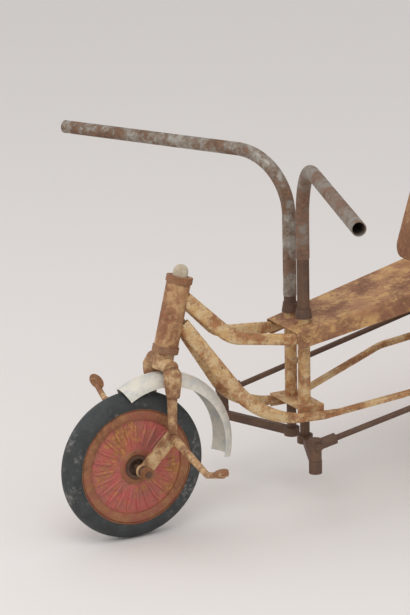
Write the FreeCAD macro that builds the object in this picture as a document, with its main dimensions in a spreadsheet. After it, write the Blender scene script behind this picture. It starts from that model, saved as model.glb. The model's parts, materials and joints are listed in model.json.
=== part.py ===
"""Child's rowing tricycle: two hand levers swing cranks that drive the rear axle.

Frame: +X forward, +Y to the rider's left, +Z up. The origin is on the floor, midway
between the two lever posts. Millimetres and degrees.
"""
import FreeCAD, Part
import math
import os

V = FreeCAD.Vector
doc = FreeCAD.newDocument("RowingTricycle")

# ---------------------------------------------------------------- driving dimensions
SIZES = {
    # front wheel
    "front_wheel_radius": 122, "front_axle_x": 304, "tyre_round": 19.5, "front_rim_radius": 96,
    "rim_wall": 2, "rim_half_width": 17, "disc_wall": 1.6, "disc_dish": 3, "hub_radius": 19,
    "hub_half_width": 19, "hub_recess_radius": 14, "hub_recess": 9, "axle_radius": 5,
    "running_gap": 0.05, "seat_gap": 0.3,
    # steering
    "rake": 14.05, "head_x": 240.4, "head_z": 298.8, "head_length": 124.4, "head_radius": 19.5,
    "stem_radius": 13, "cup_radius": 21.5, "cup_height": 10, "nut_radius": 12, "nut_height": 19,
    "crown_height": 24, "crown_reach": 35, "fender_drop": 3.5,
    "blade_radius": 9, "blade_foot_radius": 7, "blade_foot_x": 250, "blade_foot_z": 176,
    "fork_end_wall": 6, "fork_end_half_width": 11, "axle_end": 62, "axle_nut_radius": 10,
    "axle_nut_height": 8,
    # footrests
    "footrest_y": 224, "footrest_x": 265.8, "footrest_z": 164.5, "footrest_tip_y": 279,
    "footrest_tip_x": 262.8, "footrest_tip_z": 181, "footrest_skew": -4.4, "footrest_bar": 7,
    "footrest_height": 15, "pedal_width": 34, "pedal_wall": 5,
    # fender
    "fender_x": 256, "fender_z": 139, "fender_edge_radius": 109, "fender_crown": 20,
    "fender_half_width": 24, "fender_wall": 1.5, "fender_front_angle": 59, "fender_rear_angle": 194,
    # lever posts
    "post_offset": 22.3, "shaft_radius": 8, "sleeve_radius": 10.2, "sleeve_top": 324.7,
    "sleeve_foot": 175, "shaft_foot": 111, "bell_radius": 14, "bell_neck_radius": 11.5,
    "bell_height": 16, "socket_radius": 10.2, "left_seam": 424, "right_seam": 352,
    "lever_radius": 11, "lever_wall": 1.6, "lever_height": 585.5, "lever_reach": 466,
    "lever_bend": 100, "left_lever_angle": 70.5, "right_lever_angle": 63.5,
    # crank arms on the posts
    "arm_length": 148.5, "arm_angle": 67, "arm_height": 14, "arm_wall": 9, "arm_hub_radius": 13,
    "arm_boss_radius": 10.5, "arm_boss_height": 21, "pin_radius": 5,
    # connecting rods
    "rod_radius": 4.8, "rod_z": 155.7, "rod_offset": 29.5, "knuckle_width": 20, "knuckle_height": 27,
    "socket_length": 36, "rod_socket_radius": 9, "eye_radius": 13, "eye_half_width": 6,
    "bolt_radius": 6, "bolt_head_radius": 10, "bolt_head": 5, "bolt_gap": 5,
    # rear axle
    "rear_wheel_radius": 250, "rear_axle_x": -575, "rear_tyre_round": 18.5, "rear_rim_radius": 222,
    "wheel_offset": 146, "rear_hub_half_width": 21, "rear_axle_radius": 8, "crank_radius": 45,
    "crank_angle": 46, "crank_wall": 8, "crank_hub_radius": 16, "crank_eye_radius": 12,
    "barrel_radius": 18, "barrel_in": 95, "barrel_out": 121,
    # rails
    "rail_height": 24, "rail_width": 12, "rail_wall": 1.8,
    # plates and seat
    "plate_top": 181, "plate_wall": 2.5, "plate_front": 26, "plate_rear": -22, "plate_half_width": 48,
    "plate_flange": 23, "seat_wall": 2, "seat_front_x": 29, "seat_front_z": 310.5, "seat_slope": 11.4,
    "seat_length": 300, "seat_front_half": 51, "seat_rear_half": 82, "seat_flange": 30,
    "seat_round": 6, "back_lean": 17, "back_height": 225, "back_half_width": 108, "back_wall": 3,
    "back_round": 26, "stay_radius": 8, "cross_tube_radius": 9,
}

sheet = doc.addObject("Spreadsheet::Sheet", "Sizes")
for row, (alias, value) in enumerate(SIZES.items(), start=1):
    sheet.set("A%d" % row, alias.replace("_", " "))
    sheet.set("B%d" % row, str(value))
    sheet.setAlias("B%d" % row, alias)
doc.recompute()


def size(name):
    """The value that the sheet holds under this name."""
    return float(sheet.get(name))


def sized(text):
    """An expression in which every known word points at its cell."""
    words = ""
    out = ""
    for letter in text + " ":
        if letter.isalnum() or letter == "_":
            words += letter
        else:
            out += ("Sizes." + words if words in SIZES else words) + letter
            words = ""
    return out.strip()


# ---------------------------------------------------------------- feature helpers
def bind(item, **expressions):
    """Bind properties of an object to expressions on the sheet."""
    for name, text in expressions.items():
        item.setExpression(name, sized(text))


def place(item, x="0", y="0", z="0", axis=(0, 0, 1), angle="0"):
    """Bind the placement of an object to expressions on the sheet."""
    item.Placement = FreeCAD.Placement(V(0, 0, 0), FreeCAD.Rotation(V(*axis), 1))
    item.setExpression(".Placement.Base.x", sized(x))
    item.setExpression(".Placement.Base.y", sized(y))
    item.setExpression(".Placement.Base.z", sized(z))
    item.setExpression(".Placement.Rotation.Angle", sized(angle))
    return item


def cylinder(label, radius, length, x="0", y="0", z="0", axis=(0, 0, 1), angle="0"):
    """A round bar that starts at (x, y, z) and runs along its own turned +Z."""
    item = doc.addObject("Part::Cylinder", label)
    bind(item, Radius=radius, Height=length)
    return place(item, x, y, z, axis, angle)


def cone(label, low, high, length, x="0", y="0", z="0", axis=(0, 0, 1), angle="0"):
    """A tapered bar that starts at (x, y, z)."""
    item = doc.addObject("Part::Cone", label)
    bind(item, Radius1=low, Radius2=high, Height=length)
    return place(item, x, y, z, axis, angle)


def box(label, length, width, height, x="0", y="0", z="0", axis=(0, 0, 1), angle="0"):
    """A block whose low corner is at (x, y, z)."""
    item = doc.addObject("Part::Box", label)
    bind(item, Length=length, Width=width, Height=height)
    return place(item, x, y, z, axis, angle)


def along_y(label, radius, length, x, y, z):
    """A round bar that runs along +Y from (x, y, z)."""
    return cylinder(label, radius, length, x, y, z, (1, 0, 0), "-90")


def cut(label, base, tool):
    """The base with the tool taken away."""
    item = doc.addObject("Part::Cut", label)
    item.Base = base
    item.Tool = tool
    return item


def fuse(label, *pieces):
    """One solid joined from several."""
    item = doc.addObject("Part::MultiFuse", label)
    item.Shapes = list(pieces)
    item.Refine = True
    return item


def group(label, *pieces):
    """Like pieces of one body that do not touch."""
    item = doc.addObject("Part::Compound", label)
    item.Links = list(pieces)
    return item


def shaped(label, shape):
    """A feature whose form comes from a sweep or a revolved arc."""
    item = doc.addObject("Part::Feature", label)
    item.Shape = shape
    return item


NODES = []


def node(item, label):
    """Name a finished sub-part."""
    item.Label = label
    NODES.append(item)
    return item


# ---------------------------------------------------------------- shape helpers
def rounded_path(points, radii):
    """A wire of straight runs through the points, with a tangent arc at each inner point."""
    edges = []
    start = points[0]
    for here, after, radius in zip(points[1:-1], points[2:], radii):
        inward = (here - start).normalize()
        outward = (after - here).normalize()
        half_turn = inward.getAngle(outward) / 2
        reach = radius * math.tan(half_turn)
        first = here - inward * reach
        last = here + outward * reach
        middle = here + (outward - inward).normalize() * (radius / math.cos(half_turn) - radius)
        edges.append(Part.LineSegment(start, first).toShape())
        edges.append(Part.Arc(first, middle, last).toShape())
        start = last
    edges.append(Part.LineSegment(start, points[-1]).toShape())
    return Part.Wire(edges)


def swept(path, section, upright=None):
    """A solid made by carrying a closed section along a path."""
    sweep = Part.BRepOffsetAPI.MakePipeShell(path)
    if upright is not None:
        sweep.setBiNormalMode(upright)
    else:
        sweep.setFrenetMode(False)
    sweep.add(section)
    sweep.build()
    sweep.makeSolid()
    return sweep.shape()


def round_section(start, heading, radius):
    """A circle across the heading."""
    return Part.Wire([Part.Circle(start, heading, radius).toShape()])


def oval_section(start, heading, width, height):
    """A flat oval across the heading: straight upright sides with round top and bottom."""
    side = V(0, 0, 1).cross(heading).normalize()
    lift = heading.cross(side).normalize()
    half = width / 2
    straight = height / 2 - half
    corners = [start + side * (half * across) + lift * (straight * up)
               for across, up in ((1, -1), (1, 1), (-1, 1), (-1, -1))]
    top = start + lift * (height / 2)
    bottom = start - lift * (height / 2)
    return Part.Wire([Part.LineSegment(corners[0], corners[1]).toShape(),
                      Part.Arc(corners[1], top, corners[2]).toShape(),
                      Part.LineSegment(corners[2], corners[3]).toShape(),
                      Part.Arc(corners[3], bottom, corners[0]).toShape()])


def oval_tube(points, radii):
    """A flat-oval tube along a rounded path, hollow through its length."""
    path = rounded_path(points, radii)
    heading = points[1] - points[0]
    outer = oval_section(points[0], heading, size("rail_width"), size("rail_height"))
    inner = oval_section(points[0], heading, size("rail_width") - 2 * size("rail_wall"),
                         size("rail_height") - 2 * size("rail_wall"))
    return swept(path, outer, V(0, 0, 1)).cut(swept(path, inner, V(0, 0, 1)))


def round_tube(points, radii, radius, wall):
    """A round tube along a rounded path, open at both ends."""
    path = rounded_path(points, radii)
    heading = points[1] - points[0]
    outer = swept(path, round_section(points[0], heading, radius))
    return outer.cut(swept(path, round_section(points[0], heading, radius - wall)))


def bar(start, end, radius):
    """A straight round bar between two points."""
    run = end - start
    return Part.makeCylinder(radius, run.Length, start, run)


def slab(points, thickness, direction):
    """A flat plate whose outline is extruded."""
    return Part.Face(Part.makePolygon(points + points[:1])).extrude(direction * thickness)


def steering_point(along, forward=0.0, side=0.0):
    """A point given along the steering axis, forward of it and to its left."""
    rake = math.radians(size("rake"))
    up = V(-math.sin(rake), 0, math.cos(rake))
    fore = V(math.cos(rake), 0, math.sin(rake))
    return V(size("head_x"), 0, size("head_z")) + up * along + fore * forward + V(0, side, 0)


SIDES = (("left", 1), ("right", -1))


# ---------------------------------------------------------------- wheels
def wheel(prefix, x, radius, tyre_round, rim_radius, y, hub_half, bore):
    """A pressed disc wheel: tyre, rim band, two dished discs and a hub."""
    centre = radius
    ring = doc.addObject("Part::Torus", prefix + "_tyre_ring")
    bind(ring, Radius1="%s - %s" % (radius, tyre_round), Radius2=tyre_round)
    place(ring, x, y, centre, (1, 0, 0), "-90")
    seat = along_y(prefix + "_tyre_seat", rim_radius, "4 * " + tyre_round, x,
                   "%s - 2 * %s" % (y, tyre_round), centre)
    node(cut(prefix + "_tyre_cut", ring, seat), prefix + "_tyre")

    low = "%s - rim_half_width" % y
    band = along_y(prefix + "_band", rim_radius, "2 * rim_half_width", x, low, centre)
    hollow = along_y(prefix + "_band_hollow", rim_radius + " - rim_wall", "2 * rim_half_width + 2", x,
                     low + " - 1", centre)
    node(cut(prefix + "_rim_cut", band, hollow), prefix + "_rim")

    discs = []
    for name, side in SIDES:
        turn = "-90" if side > 0 else "90"
        base = "%s + %d * (rim_half_width - disc_dish)" % (y, side)
        skin = []
        for layer, depth in (("outside", "0"), ("inside", "disc_wall")):
            where = "%s - %d * %s" % (base, side, depth)
            skin.append(cone(prefix + "_disc_%s_%s" % (name, layer), rim_radius + " - rim_wall",
                             "hub_radius", "disc_dish", x, where, centre, (1, 0, 0), turn))
        shell = cut(prefix + "_dish_%s" % name, skin[0], skin[1])
        edge = cut(prefix + "_dish_trim_%s" % name, shell,
                   along_y(prefix + "_dish_hole_%s" % name, "hub_radius", "4 * hub_half_width", x,
                           "%s - 2 * hub_half_width" % y, centre))
        discs.append(edge)
    node(group(prefix + "_disc_pair", *discs), prefix + "_discs")

    hub = along_y(prefix + "_hub_body", "hub_radius", "2 * " + hub_half, x, "%s - %s" % (y, hub_half),
                  centre)
    hole = along_y(prefix + "_hub_bore", bore, "2 * %s + 2" % hub_half, x,
                   "%s - %s - 1" % (y, hub_half), centre)
    low_cup = along_y(prefix + "_hub_cup_low", "hub_recess_radius", "hub_recess + 1", x,
                      "%s - %s - 1" % (y, hub_half), centre)
    high_cup = along_y(prefix + "_hub_cup_high", "hub_recess_radius", "hub_recess + 1", x,
                       "%s + %s - hub_recess" % (y, hub_half), centre)
    tools = fuse(prefix + "_hub_tools", hole, low_cup, high_cup)
    node(cut(prefix + "_hub_cut", hub, tools), prefix + "_hub")


wheel("front", "front_axle_x", "front_wheel_radius", "tyre_round", "front_rim_radius", "0",
      "hub_half_width", "axle_radius + running_gap")
for name, side in SIDES:
    wheel("rear_" + name, "rear_axle_x", "rear_wheel_radius", "rear_tyre_round", "rear_rim_radius",
          "%d * wheel_offset" % side, "rear_hub_half_width", "rear_axle_radius")


# ---------------------------------------------------------------- steering head and fork
def on_head(label, radius, length, along):
    """A round bar on the steering axis."""
    turn = FreeCAD.Rotation(V(0, 1, 0), 1)
    item = cylinder(label, radius, length)
    item.Placement = FreeCAD.Placement(V(0, 0, 0), turn)
    item.setExpression(".Placement.Rotation.Angle", sized("-rake"))
    item.setExpression(".Placement.Base.x", sized("head_x - sin(rake) * (%s)" % along))
    item.setExpression(".Placement.Base.z", sized("head_z + cos(rake) * (%s)" % along))
    return item


head_body = on_head("head_body", "head_radius", "head_length", "0")
head_bore = on_head("head_bore", "stem_radius + running_gap", "head_length + 2", "-1")
node(cut("head_cut", head_body, head_bore), "head_tube")

cups = []
for name, along in (("lower", "0"), ("upper", "head_length - cup_height")):
    cups.append(cut("cup_cut_" + name, on_head("cup_" + name, "cup_radius", "cup_height", along),
                    on_head("cup_hole_" + name, "head_radius", "cup_height + 2", along + " - 1")))
node(group("cup_pair", *cups), "headset_cups")

node(on_head("stem_bar", "stem_radius", "head_length + 2 * seat_gap", "-seat_gap"), "steering_stem")
nut_skirt = on_head("nut_skirt", "nut_radius", "nut_height - nut_radius", "head_length + seat_gap")
nut_dome = doc.addObject("Part::Sphere", "nut_ball")
bind(nut_dome, Radius="nut_radius")
place(nut_dome, "head_x - sin(rake) * (head_length + seat_gap + nut_height - nut_radius)", "0",
      "head_z + cos(rake) * (head_length + seat_gap + nut_height - nut_radius)")
below_nut = on_head("below_nut", "2 * nut_radius", "3 * nut_radius",
                    "head_length + seat_gap - 3 * nut_radius")
node(cut("nut_cut", fuse("nut_body", nut_skirt, nut_dome), below_nut), "dome_nut")

crown_top = steering_point(-size("seat_gap"))
crown_low = steering_point(-size("crown_height"))
blades = []
ends = []
rests = []
fender_seat = steering_point(-size("crown_height") - size("fender_drop"))
crown = bar(crown_top, fender_seat, size("stem_radius") + 3)
foot_y = size("crown_reach") + 5
axle_at = V(size("front_axle_x"), 0, size("front_wheel_radius"))
yoke = bar(crown_low + V(0, -size("crown_reach"), 6), crown_low + V(0, size("crown_reach"), 6), 12)
node(shaped("crown_form", crown.fuse(yoke).removeSplitter()), "fork_crown")
for name, side in SIDES:
    top = crown_low + V(0, side * size("crown_reach"), -6)
    foot = V(size("blade_foot_x"), side * foot_y, size("blade_foot_z"))
    run = foot - top
    blades.append(Part.makeCone(size("blade_radius"), size("blade_foot_radius"), run.Length, top, run))
    inner = foot_y - 3
    start = min(side * inner, side * (inner + size("fork_end_wall")))
    half = size("fork_end_half_width")
    line = V(axle_at.x, 0, axle_at.z) - V(foot.x, 0, foot.z)
    across = V(-line.z, 0, line.x).normalize() * half
    low = V(foot.x, start, foot.z - size("blade_foot_radius") + 4)
    corners = [low + across, low - across, low + line - across, low + line + across]
    leg = slab(corners, size("fork_end_wall"), V(0, 1, 0))
    eye = Part.makeCylinder(half, size("fork_end_wall"), V(axle_at.x, start, axle_at.z), V(0, 1, 0))
    hole = Part.makeCylinder(size("axle_radius"), 60, V(axle_at.x, start - 20, axle_at.z), V(0, 1, 0))
    ends.append(leg.fuse(eye).cut(hole).cut(blades[-1]).removeSplitter())
    turn = FreeCAD.Rotation(steering_point(1) - steering_point(0), size("footrest_skew"))
    heel = V(foot.x, side * (foot_y + 4), foot.z - 8)
    knee = steering_point(0) + turn.multVec(
        V(size("footrest_x"), side * size("footrest_y"), size("footrest_z")) - steering_point(0))
    tip = steering_point(0) + turn.multVec(
        V(size("footrest_tip_x"), side * size("footrest_tip_y"), size("footrest_tip_z")) - steering_point(0))
    arm = Part.makeLoft([round_section(heel, knee - heel, size("footrest_height") / 2),
                         round_section(knee, knee - heel, size("footrest_bar") * 0.7)], True)
    pad = bar(knee, tip, size("footrest_bar") * 0.7).fuse(
        Part.makeCylinder(size("pedal_width") / 4, size("pedal_wall"), tip))
    rests.append(arm.fuse(pad).cut(ends[-1]).cut(blades[-1]).removeSplitter())
node(shaped("blade_forms", Part.makeCompound(blades)), "fork_blades")
node(shaped("end_forms", Part.makeCompound(ends)), "fork_ends")
node(shaped("rest_forms", Part.makeCompound(rests)), "footrests")

axle = along_y("axle_bar", "axle_radius", "2 * axle_end", "front_axle_x", "-axle_end",
               "front_wheel_radius")
nut_seat = "%s" % (foot_y - 3 + size("fork_end_wall"))
nut_low = along_y("axle_nut_low", "axle_nut_radius", "axle_nut_height", "front_axle_x",
                  "-%s - axle_nut_height" % nut_seat, "front_wheel_radius")
nut_high = along_y("axle_nut_high", "axle_nut_radius", "axle_nut_height", "front_axle_x", nut_seat,
                   "front_wheel_radius")
node(fuse("axle_body", axle, nut_low, nut_high), "front_axle")


def fender_section(inset):
    """The fender's closed dome section, in its radial plane at the rear."""
    low = size("fender_x") + size("fender_edge_radius")
    half = size("fender_half_width") - inset
    top = size("fender_crown") - inset
    arc = Part.Arc(V(low, -half, size("fender_z")), V(low + top, 0, size("fender_z")),
                   V(low, half, size("fender_z"))).toShape()
    shut = Part.LineSegment(V(low, half, size("fender_z")), V(low, -half, size("fender_z"))).toShape()
    return Part.Face(Part.Wire([arc, shut]))


hoop_at = V(size("fender_x"), 0, size("fender_z"))
sheet_face = fender_section(0).cut(fender_section(size("fender_wall")))
sheet_face.rotate(hoop_at, V(0, -1, 0), size("fender_front_angle"))
fender = sheet_face.revolve(hoop_at, V(0, -1, 0), size("fender_rear_angle") - size("fender_front_angle"))
node(shaped("fender_form", fender.cut(doc.getObject("crown_form").Shape).cut(blades[0]).cut(blades[1])),
     "front_fender")

# ---------------------------------------------------------------- frame
rails = {"upper": [], "lower": []}
doc.recompute()
head_solid = doc.getObject("head_body").Shape
slope = math.radians(size("seat_slope"))
seat_back = V(-math.cos(slope), 0, math.sin(slope))
barrels = []
for name, side in SIDES:
    rear = V(size("rear_axle_x"), side * (size("barrel_in") + size("barrel_out")) / 2,
             size("rear_wheel_radius"))
    barrel = Part.makeCylinder(size("barrel_radius"), size("barrel_out") - size("barrel_in"),
                               V(rear.x, min(side * size("barrel_in"), side * size("barrel_out")), rear.z),
                               V(0, 1, 0))
    bore = Part.makeCylinder(size("rear_axle_radius") + size("running_gap"), 400,
                             V(rear.x, -200, rear.z), V(0, 1, 0))
    barrels.append(barrel.cut(bore))
    lower = [V(212, side * 7, 342), V(91, side * 48, 166.5), V(-30, side * 59.4, 165.5),
             V(-228, side * 117, 205.5), rear + V(8, 0, -1)]
    rails["lower"].append(oval_tube(lower, (150, 40, 80)).cut(head_solid).cut(barrel))
    upper = [V(206, side * 7, 383), V(132, side * 25, 310), V(22, side * 43, 296),
             V(-90, side * 43, 296) + V(0, 0, 22)]
    rails["upper"].append(oval_tube(upper, (60, 60)).cut(head_solid))
node(shaped("upper_forms", Part.makeCompound(rails["upper"])), "upper_rails")
node(shaped("lower_forms", Part.makeCompound(rails["lower"])), "lower_rails")
node(shaped("barrel_forms", Part.makeCompound(barrels)), "axle_bearings")

top, wall = size("plate_top"), size("plate_wall")
span = size("plate_front") - size("plate_rear")
plate = Part.makeBox(span, 2 * size("plate_half_width"), size("plate_flange"),
                     V(size("plate_rear"), -size("plate_half_width"), top - size("plate_flange")))
plate = plate.cut(Part.makeBox(span + 2, 2 * (size("plate_half_width") - wall), size("plate_flange"),
                               V(size("plate_rear") - 1, wall - size("plate_half_width"),
                                 top - wall - size("plate_flange"))))
sleeves = []
holes = []
for name, side in SIDES:
    at = V(0, side * size("post_offset"), size("sleeve_foot"))
    length = size("sleeve_top") - size("sleeve_foot")
    holes.append(Part.makeCylinder(size("sleeve_radius"), length, at))
    sleeves.append(holes[-1].cut(Part.makeCylinder(size("shaft_radius") + size("running_gap"), length, at)))
plate = plate.cut(rails["lower"][0]).cut(rails["lower"][1]).cut(holes[0]).cut(holes[1])
node(shaped("plate_form", plate), "lower_plate")
node(shaped("sleeve_forms", Part.makeCompound(sleeves)), "post_sleeves")


def seat_outline(inset, drop, depth):
    """A tapered block under the seat's top face, smaller by the inset on both sides."""
    front = V(size("seat_front_x"), 0, size("seat_front_z"))
    down = V(-math.sin(slope), 0, -math.cos(slope))
    back = front + seat_back * size("seat_length")
    corners = [front + V(0, size("seat_front_half") - inset, 0), back + V(0, size("seat_rear_half") - inset, 0),
               back - V(0, size("seat_rear_half") - inset, 0), front - V(0, size("seat_front_half") - inset, 0)]
    return slab([corner + down * drop for corner in corners], depth, down)


seat = seat_outline(0, 0, size("seat_flange"))
long_edges = [edge for edge in seat.Edges if edge.Length > size("seat_length") * 0.9
              and min(vertex.Z - size("seat_front_z") for vertex in edge.Vertexes) > -0.01]
seat = seat.makeFillet(size("seat_round"), long_edges)
seat = seat.cut(seat_outline(size("seat_wall"), size("seat_wall"), size("seat_flange") + 40))
seat = seat.cut(holes[0]).cut(holes[1]).cut(rails["upper"][0]).cut(rails["upper"][1])
node(shaped("seat_form", seat), "seat_plate")

lean = math.radians(size("back_lean"))
back_up = V(-math.sin(lean), 0, math.cos(lean))
back_foot = V(size("seat_front_x"), 0, size("seat_front_z")) + seat_back * (size("seat_length") - 14)
half = size("back_half_width")
board = slab([back_foot + V(0, half, 0), back_foot - V(0, half, 0),
              back_foot - V(0, half, 0) + back_up * size("back_height"),
              back_foot + V(0, half, 0) + back_up * size("back_height")],
             size("back_wall"), V(-math.cos(lean), 0, -math.sin(lean)))
rims = [edge for edge in board.Edges if abs(edge.Length - size("back_wall")) < 0.01]
board = board.makeFillet(size("back_round"), rims).cut(seat_outline(0, 0, size("seat_flange")))
node(shaped("back_form", board), "backrest")

stays = []
for name, side in SIDES:
    high = back_foot + V(6, side * (size("seat_rear_half") - 14), -20)
    low = V(size("rear_axle_x") + 60, side * 108.5, size("rear_wheel_radius") + 6)
    stays.append(bar(high, low, size("stay_radius")).cut(rails["lower"][0 if side > 0 else 1])
                 .cut(seat_outline(0, 0, size("seat_wall"))))
stay_solids = [max(stay.Solids, key=lambda solid: solid.Volume) for stay in stays]
node(shaped("stay_forms", Part.makeCompound(stay_solids)), "seat_stays")
tube = Part.makeCylinder(size("cross_tube_radius"), 240, V(-300, -120, 214), V(0, 1, 0))
tube = tube.cut(rails["lower"][0]).cut(rails["lower"][1])
tube = max(tube.Solids, key=lambda solid: solid.Volume)
node(shaped("cross_form", tube), "cross_tube")


# ---------------------------------------------------------------- rear axle and cranks
rear_x, rear_z = "rear_axle_x", "rear_wheel_radius"
reach = "wheel_offset + rear_hub_half_width"
node(along_y("rear_bar", "rear_axle_radius", "2 * (%s + crank_wall)" % reach, rear_x,
             "-(%s) - crank_wall" % reach, rear_z), "rear_axle")
turned = math.radians(size("crank_angle"))
pin_at = V(size("rear_axle_x") + size("crank_radius") * math.cos(turned), 0,
           size("rear_wheel_radius") + size("crank_radius") * math.sin(turned))
web_y = size("wheel_offset") + size("rear_hub_half_width")
for name, side in SIDES:
    low = min(side * web_y, side * (web_y + size("crank_wall")))
    hub = Part.makeCylinder(size("crank_hub_radius"), size("crank_wall"),
                            V(size("rear_axle_x"), low, size("rear_wheel_radius")), V(0, 1, 0))
    eye = Part.makeCylinder(size("crank_eye_radius"), size("crank_wall"), pin_at + V(0, low, 0), V(0, 1, 0))
    line = pin_at - V(size("rear_axle_x"), 0, size("rear_wheel_radius"))
    across = V(-line.z, 0, line.x).normalize() * size("crank_eye_radius")
    base = V(size("rear_axle_x"), low, size("rear_wheel_radius"))
    web = slab([base + across, base - across, base + line - across, base + line + across],
               size("crank_wall"), V(0, 1, 0))
    crank = hub.fuse(eye).fuse(web).cut(Part.makeCylinder(size("rear_axle_radius"), 400,
                                                          base - V(0, 200, 0), V(0, 1, 0)))
    node(shaped("crank_form_" + name, crank.removeSplitter()), "rear_crank_" + name)

# ---------------------------------------------------------------- levers and rods
for name, side in SIDES:
    post = V(0, side * size("post_offset"), 0)
    seam = size(name + "_seam")
    yaw = math.radians(size(name + "_lever_angle"))
    out = V(math.cos(yaw), side * math.sin(yaw), 0)
    top = post + V(0, 0, size("lever_height"))
    tube = round_tube([post + V(0, 0, seam), top, top + out * size("lever_reach")],
                      (size("lever_bend"),), size("lever_radius"), size("lever_wall"))
    node(shaped("lever_form_" + name, tube), "lever_" + name)
    bell_low = size("sleeve_top") + size("seat_gap")
    socket = Part.makeCylinder(size("socket_radius"), seam - bell_low, post + V(0, 0, bell_low))
    bell = Part.makeCone(size("bell_radius"), size("bell_neck_radius"), size("bell_height"),
                         post + V(0, 0, bell_low))
    bored = socket.fuse(bell).cut(Part.makeCylinder(size("shaft_radius"), size("lever_height"), post))
    node(shaped("socket_form_" + name, bored.removeSplitter()), "lever_socket_" + name)
    shaft = Part.makeCylinder(size("shaft_radius"), seam - size("shaft_foot"),
                              post + V(0, 0, size("shaft_foot")))
    turn = math.radians(size("arm_angle"))
    out = V(math.cos(turn), side * math.sin(turn), 0)
    foot = post + V(0, 0, size("shaft_foot"))
    tip = foot + out * size("arm_length")
    across = V(-out.y, out.x, 0) * (size("arm_wall") / 2)
    web = slab([foot + across, foot - across, tip - across, tip + across], size("arm_height"), V(0, 0, 1))
    hub = Part.makeCylinder(size("arm_hub_radius"), size("arm_height"), foot)
    boss = Part.makeCylinder(size("arm_boss_radius"), size("arm_boss_height"), tip)
    pin = Part.makeCylinder(size("pin_radius"), size("arm_boss_height") + 20, tip)
    arm = web.fuse(hub).fuse(boss).fuse(pin).cut(Part.makeCylinder(size("shaft_radius"), 60, foot))
    node(shaped("shaft_form_" + name, shaft), "lever_shaft_" + name)
    node(shaped("arm_form_" + name, arm.removeSplitter()), "crank_arm_" + name)

    joint = V(tip.x, tip.y, size("rod_z"))
    eye_at = V(pin_at.x, tip.y + side * size("rod_offset"), pin_at.z)
    run = (eye_at - joint).normalize()
    low = size("shaft_foot") + size("arm_boss_height") + size("seat_gap")
    body = Part.makeCylinder(size("knuckle_width") / 2, size("knuckle_height") + 8, V(tip.x, tip.y, low))
    body = body.fuse(bar(joint, joint + run * size("socket_length"), size("rod_socket_radius")))
    body = body.cut(Part.makeCylinder(size("pin_radius") + size("running_gap"), 28, V(tip.x, tip.y, low - 1)))
    rod_start = joint + run * size("socket_length")
    rod = bar(rod_start, eye_at, size("rod_radius"))
    eye_low = eye_at.y - size("eye_half_width")
    eye = Part.makeCylinder(size("eye_radius"), 2 * size("eye_half_width"),
                            V(eye_at.x, eye_low, eye_at.z), V(0, 1, 0))
    inner = side * (web_y + size("crank_wall") + size("bolt_gap"))
    outer = eye_at.y + side * (size("eye_half_width") + size("bolt_head"))
    bolt = Part.makeCylinder(size("bolt_radius"), abs(outer - inner),
                             V(eye_at.x, min(inner, outer), eye_at.z), V(0, 1, 0))
    head_y = min(outer, outer - side * size("bolt_head"))
    head = Part.makeCylinder(size("bolt_head_radius"), size("bolt_head"),
                             V(eye_at.x, head_y, eye_at.z), V(0, 1, 0))
    bolt = bolt.fuse(head)
    node(shaped("knuckle_form_" + name, body), "rod_knuckle_" + name)
    node(shaped("rod_form_" + name, rod.fuse(eye).cut(bolt).removeSplitter()), "connecting_rod_" + name)
    node(shaped("bolt_form_" + name, bolt.removeSplitter()), "crank_bolt_" + name)

# ---------------------------------------------------------------- checks and output
doc.recompute()
for item in doc.Objects:
    if "Invalid" in item.State or "Error" in item.State:
        raise SystemExit("failed: " + item.Name)
for item in NODES:
    if item.Shape.isNull() or not item.Shape.isValid() or not item.Shape.Solids:
        raise SystemExit("bad shape: " + item.Label)
os.makedirs("parts", exist_ok=True)
for item in NODES:
    item.Shape.exportStep("parts/%s.step" % item.Label)
    print(item.Label, len(item.Shape.Solids), round(item.Shape.Volume))
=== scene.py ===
"""Looks of the child's rowing tricycle: rusted paint, pressed disc wheels, rivets and bolts."""
from __future__ import annotations

import json
import logging
import math
from dataclasses import dataclass, field
from enum import Enum

import bmesh
import bpy
from mathutils import Matrix, Vector

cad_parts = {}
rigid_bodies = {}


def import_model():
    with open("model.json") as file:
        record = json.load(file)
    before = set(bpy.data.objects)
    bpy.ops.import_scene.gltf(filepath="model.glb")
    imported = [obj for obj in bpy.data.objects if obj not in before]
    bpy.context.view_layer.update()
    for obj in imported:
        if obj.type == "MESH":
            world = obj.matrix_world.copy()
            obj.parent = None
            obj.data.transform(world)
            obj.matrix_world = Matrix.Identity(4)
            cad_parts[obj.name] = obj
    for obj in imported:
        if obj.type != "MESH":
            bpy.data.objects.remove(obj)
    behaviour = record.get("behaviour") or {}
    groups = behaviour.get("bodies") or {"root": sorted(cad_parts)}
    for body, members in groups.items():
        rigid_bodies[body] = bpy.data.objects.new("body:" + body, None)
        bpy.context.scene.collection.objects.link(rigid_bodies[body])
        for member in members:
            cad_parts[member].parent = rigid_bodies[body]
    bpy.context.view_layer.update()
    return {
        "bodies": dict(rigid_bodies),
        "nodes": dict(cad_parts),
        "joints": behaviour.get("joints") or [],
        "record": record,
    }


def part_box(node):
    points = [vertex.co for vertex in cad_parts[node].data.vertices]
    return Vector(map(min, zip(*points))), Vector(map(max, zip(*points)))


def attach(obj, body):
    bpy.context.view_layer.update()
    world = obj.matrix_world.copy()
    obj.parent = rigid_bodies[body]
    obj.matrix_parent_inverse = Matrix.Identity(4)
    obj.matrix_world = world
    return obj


LOG = logging.getLogger("rowing_tricycle")
Colour = tuple[float, float, float]


class Surface(Enum):
    """How a finish has aged."""

    PAINT = "paint"
    METAL = "metal"
    RUBBER = "rubber"


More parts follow.
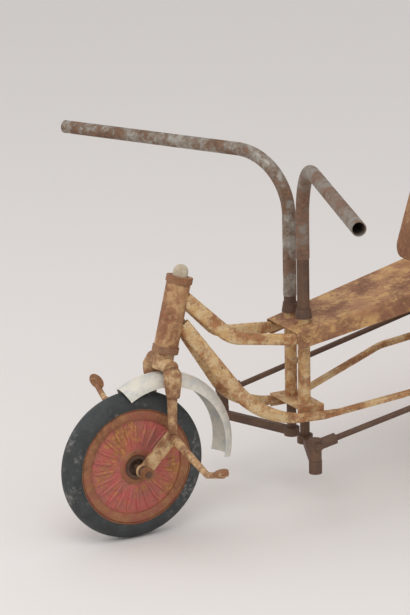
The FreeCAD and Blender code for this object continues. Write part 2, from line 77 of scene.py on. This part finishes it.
class Socket:
    """One shader value that takes part in plain arithmetic."""

    def __init__(self, tree: bpy.types.NodeTree, link: object) -> None:
        """Wrap a node's output socket in its tree."""
        self.tree = tree
        self.link = link

    def math(self, operation: str, first: object, second: object) -> "Socket":
        """Add one Math node.

        Args:
            operation: the Math node's operation.
            first: a Socket or a number.
            second: a Socket or a number.

        Returns:
            The node's result.
        """
        node = self.tree.nodes.new("ShaderNodeMath")
        node.operation = operation
        for slot, value in zip(node.inputs, (first, second)):
            if isinstance(value, Socket):
                self.tree.links.new(value.link, slot)
            else:
                slot.default_value = float(value)
        return Socket(self.tree, node.outputs[0])

    def __add__(self, other: object) -> "Socket":
        """Sum."""
        return self.math("ADD", self, other)

    def __sub__(self, other: object) -> "Socket":
        """Difference."""
        return self.math("SUBTRACT", self, other)

    def __rsub__(self, other: object) -> "Socket":
        """Difference with the value on the right."""
        return self.math("SUBTRACT", other, self)

    def __mul__(self, other: object) -> "Socket":
        """Product."""
        return self.math("MULTIPLY", self, other)

    __radd__ = __add__
    __rmul__ = __mul__


class Shader:
    """A material under construction."""

    def __init__(self, name: str) -> None:
        """Start an empty node material with this name."""
        self.material = bpy.data.materials.new(name)
        self.material.use_nodes = True
        self.tree = self.material.node_tree
        self.surface = self.tree.nodes["Principled BSDF"]
        self.place = self.node("ShaderNodeTexCoord", output="Object")

    def node(self, kind: str, output: str = "", settings: dict | None = None, **values: object) -> Socket:
        """Add a node.

        Args:
            kind: the node's type.
            output: the output's name, or the first one.
            settings: properties that are set before the sockets.
            **values: socket values or Sockets, with _ for a space in the name.

        Returns:
            The chosen output.
        """
        made = self.tree.nodes.new(kind)
        for key, value in (settings or {}).items():
            setattr(made, key, value)
        for key, value in values.items():
            slot = made.inputs[key.replace("_", " ")]
            if isinstance(value, Socket):
                self.tree.links.new(value.link, slot)
            else:
                slot.default_value = value
        return Socket(self.tree, made.outputs[output] if output else made.outputs[0])

    def noise(self, scale: float, detail: float = 6.0, rough: float = 0.6) -> Socket:
        """Fractal noise in the object's own metres."""
        return self.node("ShaderNodeTexNoise", Vector=self.place, Scale=scale, Detail=detail, Roughness=rough)

    def step(self, value: Socket, low: float, high: float) -> Socket:
        """A smooth mask that rises from low to high."""
        return self.node("ShaderNodeMapRange", settings={"interpolation_type": "SMOOTHSTEP"}, Value=value,
                         From_Min=low, From_Max=high)

    def blend(self, mask: Socket, under: object, over: object) -> Socket:
        """Mix two colours by a mask."""
        made = self.tree.nodes.new("ShaderNodeMix")
        made.data_type = "RGBA"
        for slot, value in ((made.inputs[0], mask), (made.inputs[6], under), (made.inputs[7], over)):
            if isinstance(value, Socket):
                self.tree.links.new(value.link, slot)
            else:
                slot.default_value = (*value, 1.0)
        return Socket(self.tree, made.outputs[2])

    def finish(self, **values: Socket) -> None:
        """Link results to the surface's own sockets."""
        for key, value in values.items():
            self.tree.links.new(value.link, self.surface.inputs[key.replace("_", " ")])


@dataclass(frozen=True)
class AgedFinish:
    """A worn finish: a coat, a second tone, rust that breaks through it, and dark pits."""

    name: str
    coat: Colour
    tone: Colour
    rust: Colour = (0.16, 0.065, 0.025)
    pit: Colour = (0.035, 0.02, 0.012)
    rust_share: float = 0.5
    pit_share: float = 0.36
    patch_scale: float = 14.0
    grain_scale: float = 150.0
    roughness: float = 0.62
    metallic: float = 0.0
    relief: float = 0.0012
    kind: Surface = Surface.PAINT

    def build(self) -> bpy.types.Material:
        """Make the material.

        Returns:
            A material whose colour, gloss and relief all vary.
        """
        shader = Shader(self.name)
        patches = shader.noise(self.patch_scale, 8.0, 0.66)
        grain = shader.noise(self.grain_scale, 5.0, 0.7)
        pits = shader.noise(self.grain_scale * 2.6, 3.0, 0.6)
        tone = shader.step(shader.noise(self.patch_scale * 2.3), 0.38, 0.66)
        edge = 1.0 - self.rust_share
        mottled = patches * 0.65 + grain * 0.35
        rust = shader.step(mottled, edge - 0.06, edge + 0.07)
        spots = shader.step(1.0 - pits, 1.0 - self.pit_share, 1.06 - self.pit_share)
        colour = shader.blend(tone, self.coat, self.tone)
        rust_colour = shader.blend(shader.step(grain, 0.35, 0.68), self.rust,
                                   tuple(min(1.0, part * 1.9 + 0.01) for part in self.rust))
        colour = shader.blend(rust, colour, rust_colour)
        colour = shader.blend(spots * 0.85, colour, self.pit)
        gloss = rust * (0.86 - self.roughness) + (grain - 0.5) * 0.2 + self.roughness
        height = grain * 0.5 - rust * 0.35 - spots * 0.6
        bump = shader.node("ShaderNodeBump", Strength=0.55, Distance=self.relief, Height=height)
        shader.finish(Base_Color=colour, Roughness=gloss, Normal=bump)
        if self.kind is Surface.METAL:
            shader.finish(Metallic=(1.0 - rust) * self.metallic)
        return shader.material


FINISHES: dict[str, AgedFinish] = {
    "frame_paint": AgedFinish("frame_paint", (0.64, 0.47, 0.26), (0.56, 0.34, 0.14), (0.23, 0.10, 0.04),
                              rust_share=0.49, pit_share=0.39, patch_scale=26.0),
    "seat_rust": AgedFinish("seat_rust", (0.56, 0.33, 0.13), (0.36, 0.17, 0.08), (0.15, 0.065, 0.035),
                            rust_share=0.51, patch_scale=15.0),
    "back_board": AgedFinish("back_board", (0.42, 0.22, 0.10), (0.28, 0.13, 0.06), (0.15, 0.065, 0.03),
                             patch_scale=8.0, roughness=0.5),
    "headset_rust": AgedFinish("headset_rust", (0.30, 0.15, 0.07), (0.20, 0.10, 0.055), rust_share=0.50),
    "head_rust": AgedFinish("head_rust", (0.50, 0.30, 0.14), (0.36, 0.18, 0.08), (0.16, 0.065, 0.03),
                            rust_share=0.52, patch_scale=24.0),
    "nut_cream": AgedFinish("nut_cream", (0.56, 0.50, 0.38), (0.42, 0.34, 0.24), rust_share=0.40),
    "fork_paint": AgedFinish("fork_paint", (0.60, 0.42, 0.22), (0.44, 0.25, 0.11), (0.17, 0.075, 0.035),
                             rust_share=0.50, patch_scale=28.0),
    "fender_cream": AgedFinish("fender_cream", (0.70, 0.66, 0.57), (0.52, 0.53, 0.51), (0.36, 0.28, 0.20),
                               rust_share=0.38, pit_share=0.30, roughness=0.4, patch_scale=20.0),
    "tyre": AgedFinish("tyre", (0.030, 0.034, 0.035), (0.045, 0.051, 0.052), (0.11, 0.107, 0.10),
                       (0.012, 0.013, 0.014), rust_share=0.43, pit_share=0.35, roughness=0.7,
                       patch_scale=20.0, kind=Surface.RUBBER),
    "wheel_red": AgedFinish("wheel_red", (0.47, 0.105, 0.09), (0.36, 0.12, 0.09), (0.27, 0.12, 0.04),
                            rust_share=0.45, pit_share=0.38, patch_scale=20.0, roughness=0.52),
    "rim_rust": AgedFinish("rim_rust", (0.30, 0.085, 0.055), (0.33, 0.15, 0.06), (0.17, 0.07, 0.03),
                           rust_share=0.49, patch_scale=18.0),
    "dark_steel": AgedFinish("dark_steel", (0.11, 0.065, 0.045), (0.16, 0.09, 0.055), (0.07, 0.035, 0.022),
                             rust_share=0.48, metallic=0.35, kind=Surface.METAL),
    "lever_plain": AgedFinish("lever_plain", (0.26, 0.24, 0.21), (0.19, 0.13, 0.09), (0.12, 0.065, 0.04),
                              rust_share=0.50, patch_scale=18.0, metallic=0.35, roughness=0.5,
                              kind=Surface.METAL),
    "lever_nickel": AgedFinish("lever_nickel", (0.36, 0.34, 0.30), (0.24, 0.20, 0.16), (0.11, 0.06, 0.035),
                               rust_share=0.51, patch_scale=30.0, metallic=0.5, roughness=0.42,
                               kind=Surface.METAL),
}
OWN_FINISH = {"head_tube": "head_rust", "front_rim": "rim_rust", "rear_left_rim": "rim_rust",
              "rear_right_rim": "rim_rust"}


def centre_of(node: str) -> Vector:
    """The middle of a node's box at rest."""
    low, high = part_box(node)
    return (Vector(low) + Vector(high)) / 2


def mesh_piece(name: str, form: bmesh.types.BMesh, finish: str, body: str,
               materials: dict[str, bpy.types.Material]) -> bpy.types.Object:
    """Turn a built form into a piece that rides on a body.

    Args:
        name: the piece's name.
        form: the finished mesh form, which is freed.
        finish: the finish's key.
        body: the body that it moves with.
        materials: the built finishes.

    Returns:
        The new object, at the origin.
    """
    mesh = bpy.data.meshes.new(name)
    bmesh.ops.recalc_face_normals(form, faces=form.faces)
    form.to_mesh(mesh)
    form.free()
    mesh.materials.append(materials[finish])
    piece = bpy.data.objects.new(name, mesh)
    bpy.context.collection.objects.link(piece)
    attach(piece, body)
    LOG.info("%s on %s: %d faces", name, body, len(mesh.polygons))
    return piece


@dataclass
class PressedRibs:
    """The radial ribs pressed into a disc wheel, made by Geometry Nodes."""

    wheel: str
    body: str
    count: int = 24
    inner: float = 0.032
    outer_margin: float = 0.018
    proud: float = 0.0034
    width: float = 0.0062
    sink: float = 0.0017
    faces: tuple[int, int] = (1, -1)

    def rib(self, radius: float, side: int, face: float) -> bpy.types.Object:
        """One long, low, rounded rib at the top of the wheel."""
        form = bmesh.new()
        bmesh.ops.create_uvsphere(form, u_segments=12, v_segments=8, radius=1.0)
        length = (radius - self.outer_margin - self.inner) / 2
        middle = self.inner + length
        shape = Matrix.Translation((0, side * face, middle)) @ Matrix.Diagonal(
            (self.width / 2, self.proud, length, 1))
        bmesh.ops.transform(form, matrix=shape, verts=form.verts)
        mesh = bpy.data.meshes.new("rib")
        form.to_mesh(mesh)
        form.free()
        return bpy.data.objects.new("rib", mesh)

    def tree(self, rib: bpy.types.Object, material: bpy.types.Material) -> bpy.types.NodeTree:
        """The node tree that turns one rib about the wheel's axle."""
        tree = bpy.data.node_groups.new("rib_ring", "GeometryNodeTree")
        tree.interface.new_socket("Geometry", in_out="OUTPUT", socket_type="NodeSocketGeometry")
        count = tree.interface.new_socket("Rib Count", in_out="INPUT", socket_type="NodeSocketInt")
        count.default_value = self.count
        made = {key: tree.nodes.new(kind) for key, kind in (
            ("start", "NodeGroupInput"), ("line", "GeometryNodeMeshLine"), ("rib", "GeometryNodeObjectInfo"),
            ("index", "GeometryNodeInputIndex"), ("share", "ShaderNodeMath"), ("turn", "ShaderNodeMath"),
            ("angles", "ShaderNodeCombineXYZ"), ("copies", "GeometryNodeInstanceOnPoints"),
            ("real", "GeometryNodeRealizeInstances"), ("paint", "GeometryNodeSetMaterial"),
            ("end", "NodeGroupOutput"))}
        made["share"].operation = "DIVIDE"
        made["turn"].operation = "MULTIPLY"
        made["turn"].inputs[1].default_value = 2 * math.pi
        made["line"].inputs["Offset"].default_value = (0, 0, 0)
        made["rib"].inputs["Object"].default_value = rib
        made["paint"].inputs["Material"].default_value = material
        for out, slot in ((made["start"].outputs[0], made["line"].inputs["Count"]),
                          (made["index"].outputs[0], made["share"].inputs[0]),
                          (made["start"].outputs[0], made["share"].inputs[1]),
                          (made["share"].outputs[0], made["turn"].inputs[0]),
                          (made["turn"].outputs[0], made["angles"].inputs[1]),
                          (made["line"].outputs[0], made["copies"].inputs["Points"]),
                          (made["rib"].outputs["Geometry"], made["copies"].inputs["Instance"]),
                          (made["angles"].outputs[0], made["copies"].inputs["Rotation"]),
                          (made["copies"].outputs[0], made["real"].inputs[0]),
                          (made["real"].outputs[0], made["paint"].inputs["Geometry"]),
                          (made["paint"].outputs[0], made["end"].inputs[0])):
            tree.links.new(out, slot)
        return tree

    def build(self, materials: dict[str, bpy.types.Material]) -> None:
        """Make both faces' rings of ribs."""
        low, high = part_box(self.wheel + "_discs")
        centre = (Vector(low) + Vector(high)) / 2
        radius = (high[2] - low[2]) / 2
        face = (high[1] - low[1]) / 2 - self.sink
        form = bmesh.new()
        for side in self.faces:
            rib = self.rib(radius, side, face)
            host = bpy.data.objects.new("ring", bpy.data.meshes.new("ring"))
            bpy.context.collection.objects.link(host)
            bpy.context.collection.objects.link(rib)
            modifier = host.modifiers.new("ribs", "NODES")
            modifier.node_group = self.tree(rib, materials["wheel_red"])
            modifier[modifier.node_group.interface.items_tree["Rib Count"].identifier] = self.count
            bpy.context.view_layer.update()
            done = host.evaluated_get(bpy.context.evaluated_depsgraph_get())
            ring = bpy.data.meshes.new_from_object(done)
            ring.transform(Matrix.Translation(centre))
            form.from_mesh(ring)
            bpy.data.objects.remove(host)
            bpy.data.objects.remove(rib)
        mesh_piece(self.wheel + "_ribs", form, "wheel_red", self.body, materials)


def lathe_form(form: bmesh.types.BMesh, outline: list[tuple[float, float]], place: Matrix,
               steps: int = 64) -> None:
    """Add a closed ring turned about its own Z.

    Args:
        form: the mesh that takes the ring.
        outline: closed points as (radius, height).
        place: where the ring goes.
        steps: how many sides it has.
    """
    rings = []
    for step in range(steps):
        angle = 2 * math.pi * step / steps
        across = Vector((math.cos(angle), math.sin(angle), 0))
        rings.append([form.verts.new(place @ (across * radius + Vector((0, 0, height))))
                      for radius, height in outline])
    for here, after in zip(rings, rings[1:] + rings[:1]):
        for first in range(len(outline)):
            second = (first + 1) % len(outline)
            face = form.faces.new((here[first], after[first], after[second], here[second]))
            face.smooth = True


@dataclass
class DiscRings:
    """The smooth rusty ring inside the tyre and the raised ring about the hub hole."""

    wheel: str
    body: str
    rim_share: float = 0.17
    hub_inner: float = 0.0192
    hub_outer: float = 0.029
    swell: float = 0.0026
    rim_gap: float = 0.0005
    sink: float = 0.004
    lift: float = 0.0035
    arc_parts: int = 8

    def build(self, materials: dict[str, bpy.types.Material]) -> None:
        """Turn both rings on both faces of the wheel."""
        low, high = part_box(self.wheel + "_discs")
        centre = (Vector(low) + Vector(high)) / 2
        outer = (high[2] - low[2]) / 2
        face = (high[1] - low[1]) / 2
        form = bmesh.new()
        for side in (1, -1):
            place = Matrix.Translation(centre) @ Matrix.Rotation(-side * math.pi / 2, 4, "X")
            base = face - self.sink
            spans = ((outer * (1 - self.rim_share), outer - self.rim_gap), (self.hub_inner, self.hub_outer))
            for inner, rim in spans:
                middle = (inner + rim) / 2
                half = (rim - inner) / 2
                arc = [(middle + half * math.cos(turn), base + self.lift + self.swell * math.sin(turn))
                       for turn in (math.pi * part / self.arc_parts for part in range(self.arc_parts + 1))]
                lathe_form(form, [(rim, base), *arc, (inner, base)], place)
        mesh_piece(self.wheel + "_disc_rings", form, "rim_rust", self.body, materials)


@dataclass
class ForkTrim:
    """The pressed shoulders over the blades' tops and the flattened footrest tips."""

    shoulder_top: float = 0.0145
    shoulder_foot: float = 0.0105
    shoulder_length: float = 0.046
    pad: tuple[float, float, float] = (0.010, 0.022, 0.0035)
    reach: float = 0.014

    def build(self, node: bpy.types.Object, materials: dict[str, bpy.types.Material]) -> None:
        """Make the shoulders and tips.

        Args:
            node: the carried-over footrests, whose ends say where the tips lie.
            materials: the built finishes.
        """
        low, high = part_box("fork_blades")
        form = bmesh.new()
        top, foot, length = self.shoulder_top, self.shoulder_foot, self.shoulder_length
        for side in (1, -1):
            place = Matrix.Translation((low[0] + 0.009, side * 0.0375, high[2] - length + 0.010))
            outline = [(0.0005, 0), (foot, 0), (foot + 0.001, 0.004), (top, length * 0.6),
                       (top, length * 0.85), (top * 0.75, length), (0.0005, length + 0.002)]
            lathe_form(form, outline, place, 28)
        mesh_piece("fork_shoulders", form, "fork_paint", "fork", materials)
        form = bmesh.new()
        ends = [vertex.co for vertex in node.data.vertices]
        for side in (1, -1):
            far = max(side * end.y for end in ends)
            near = [end for end in ends if side * end.y > far - self.reach]
            spot = sum(near, Vector()) / len(near)
            place = Matrix.Translation(spot - Vector((0, side * 0.011, 0))) @ Matrix.Rotation(
                side * 0.3, 4, "X") @ Matrix.Rotation(0.45, 4, "Y") @ Matrix.Diagonal((*self.pad, 1))
            bmesh.ops.create_uvsphere(form, u_segments=24, v_segments=14, radius=1.0, matrix=place)
        for face in form.faces:
            face.smooth = True
        mesh_piece("footrest_tips", form, "headset_rust", "fork", materials)


@dataclass
class Fasteners:
    """Rivets and bolt heads of one body, joined in one mesh."""

    name: str
    body: str
    slot: str
    finish: str
    heads: list[tuple[Vector, Vector, float, int]] = field(default_factory=list)

    def add(self, place: Vector, out: Vector, radius: float, sides: int = 14) -> None:
        """Add one head: many sides make a rivet, six a bolt."""
        self.heads.append((place, out, radius, sides))

    def build(self, materials: dict[str, bpy.types.Material]) -> None:
        """Make the joined mesh."""
        form = bmesh.new()
        for place, out, radius, sides in self.heads:
            turn = out.to_track_quat("Z", "Y").to_matrix().to_4x4()
            spot = Matrix.Translation(place + out * radius * 0.3) @ turn
            bmesh.ops.create_cone(form, cap_ends=True, segments=sides, radius1=radius,
                                  radius2=radius * (0.96 if sides == 6 else 0.6), depth=radius * 0.8,
                                  matrix=spot)
        mesh_piece(self.name, form, self.finish, self.body, materials)


@dataclass
class Studio:
    """The floor, the light and the camera."""

    position: Vector = field(default_factory=lambda: Vector((1.7554, 3.1588, 1.3659)))
    right: Vector = field(default_factory=lambda: Vector((-0.8902, 0.4550, -0.0234)))
    up: Vector = field(default_factory=lambda: Vector((-0.1445, -0.2332, 0.9616)))
    view: Vector = field(default_factory=lambda: Vector((-0.4321, -0.8594, -0.2733)))
    lens: float = 134.9
    sensor: float = 36.0
    paper: Colour = (0.80, 0.765, 0.745)
    lamps: tuple[tuple[str, Colour, float, float], ...] = (("key", (1.2, 1.6, 3.0), 36.0, 2.2),
                                                           ("fill", (2.6, -1.8, 2.2), 14.0, 2.5))

    def build(self) -> None:
        """Make the stage."""
        camera = bpy.data.cameras.new("camera")
        camera.sensor_fit = "VERTICAL"
        camera.sensor_height = self.sensor
        camera.lens = self.lens
        holder = bpy.data.objects.new("camera", camera)
        holder.matrix_world = Matrix.Translation(self.position) @ Matrix(
            (self.right, self.up, -self.view)).transposed().to_4x4()
        bpy.context.collection.objects.link(holder)
        bpy.context.scene.camera = holder
        form = bmesh.new()
        bmesh.ops.create_grid(form, x_segments=1, y_segments=1, size=12)
        mesh = bpy.data.meshes.new("floor")
        form.to_mesh(mesh)
        form.free()
        floor = bpy.data.objects.new("floor", mesh)
        bpy.context.collection.objects.link(floor)
        paper = Shader("paper")
        tint = paper.blend(paper.noise(2.0), self.paper, tuple(part * 0.985 for part in self.paper))
        paper.finish(Base_Color=tint)
        paper.surface.inputs["Roughness"].default_value = 0.9
        mesh.materials.append(paper.material)
        world = bpy.data.worlds.new("world")
        bpy.context.scene.world = world
        world.use_nodes = True
        world.node_tree.nodes["Background"].inputs[0].default_value = (0.93, 0.92, 0.91, 1)
        world.node_tree.nodes["Background"].inputs[1].default_value = 0.8
        for name, spot, power, span in self.lamps:
            light = bpy.data.lights.new(name, "AREA")
            light.energy = power
            light.size = span
            lamp = bpy.data.objects.new(name, light)
            lamp.matrix_world = Matrix.Translation(spot) @ (-Vector(spot)).to_track_quat(
                "-Z", "Y").to_matrix().to_4x4()
            bpy.context.collection.objects.link(lamp)
        bpy.context.scene.view_settings.view_transform = "Standard"


@dataclass
class Tricycle:
    """The whole object around the frame."""

    frame: dict
    materials: dict[str, bpy.types.Material] = field(default_factory=dict)
    rivet_radius: float = 0.0045
    rivet_shares: tuple[float, float] = (0.2, 0.75)
    rail_bolt: Vector = field(default_factory=lambda: Vector((0.012, 0.0525, 0.298)))
    rail_bolt_radius: float = 0.006
    knuckle_bolt_radius: float = 0.007
    knuckle_bolt_back: float = 0.010
    knuckle_bolt_sink: float = 0.001
    knuckle_bolt_height: float = 0.157
    axle_nut_y: float = 0.052
    axle_nut_radius: float = 0.0115

    def dress(self) -> None:
        """Give every carried-over node its finish."""
        self.materials = {key: finish.build() for key, finish in FINISHES.items()}
        slots = {part["node"]: part["material_slot"] for part in self.frame["record"]["subparts"]}
        for name, item in self.frame["nodes"].items():
            material = self.materials[OWN_FINISH.get(name, slots[name])]
            for place in item.material_slots:
                place.material = material
            LOG.info("%s dressed in %s", name, material.name)

    def wheels(self) -> None:
        """Add the pressed ribs and rings."""
        for wheel in ("front", "rear_left", "rear_right"):
            DiscRings(wheel, "front_wheel" if wheel == "front" else "rear_axle").build(self.materials)
        PressedRibs("front", "front_wheel").build(self.materials)
        for side in ("left", "right"):
            ribs = PressedRibs("rear_" + side, "rear_axle", inner=0.045, width=0.008, proud=0.003)
            ribs.build(self.materials)

    def fasteners(self) -> None:
        """Add rivets and bolts."""
        rivets = Fasteners("frame_rivets", "frame", "frame_paint", "frame_paint")
        low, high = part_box("lower_plate")
        for side in (1, -1):
            edge = high[1] if side > 0 else low[1]
            out = Vector((0, side, 0))
            for along in self.rivet_shares:
                place = Vector((low[0] + (high[0] - low[0]) * along, edge, (low[2] + high[2]) / 2))
                rivets.add(place, out, self.rivet_radius)
            bolt = Vector((self.rail_bolt.x, side * self.rail_bolt.y, self.rail_bolt.z))
            rivets.add(bolt, out, self.rail_bolt_radius, 6)
        rivets.build(self.materials)
        for side, sign in (("left", 1), ("right", -1)):
            bolts = Fasteners("rod_bolt_head_" + side, "rod_" + side, "dark_steel", "dark_steel")
            low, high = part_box("rod_knuckle_" + side)
            outer = high[1] if sign > 0 else low[1]
            place = Vector((high[0] - self.knuckle_bolt_back, outer - sign * self.knuckle_bolt_sink,
                            self.knuckle_bolt_height))
            bolts.add(place, Vector((0, sign, 0)), self.knuckle_bolt_radius, 6)
            bolts.build(self.materials)
        nuts = Fasteners("fork_nuts", "fork", "fork_paint", "headset_rust")
        spot = centre_of("front_axle")
        for side in (1, -1):
            nuts.add(Vector((spot.x, side * self.axle_nut_y, spot.z)), Vector((0, side, 0)),
                     self.axle_nut_radius, 6)
        nuts.build(self.materials)


def main() -> None:
    """Load the frame, dress it and set the stage."""
    logging.basicConfig(level=logging.INFO)
    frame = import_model()
    tricycle = Tricycle(frame)
    tricycle.dress()
    tricycle.wheels()
    tricycle.fasteners()
    ForkTrim().build(frame["nodes"]["footrests"], tricycle.materials)
    Studio().build()


if __name__ == "__main__":
    main()
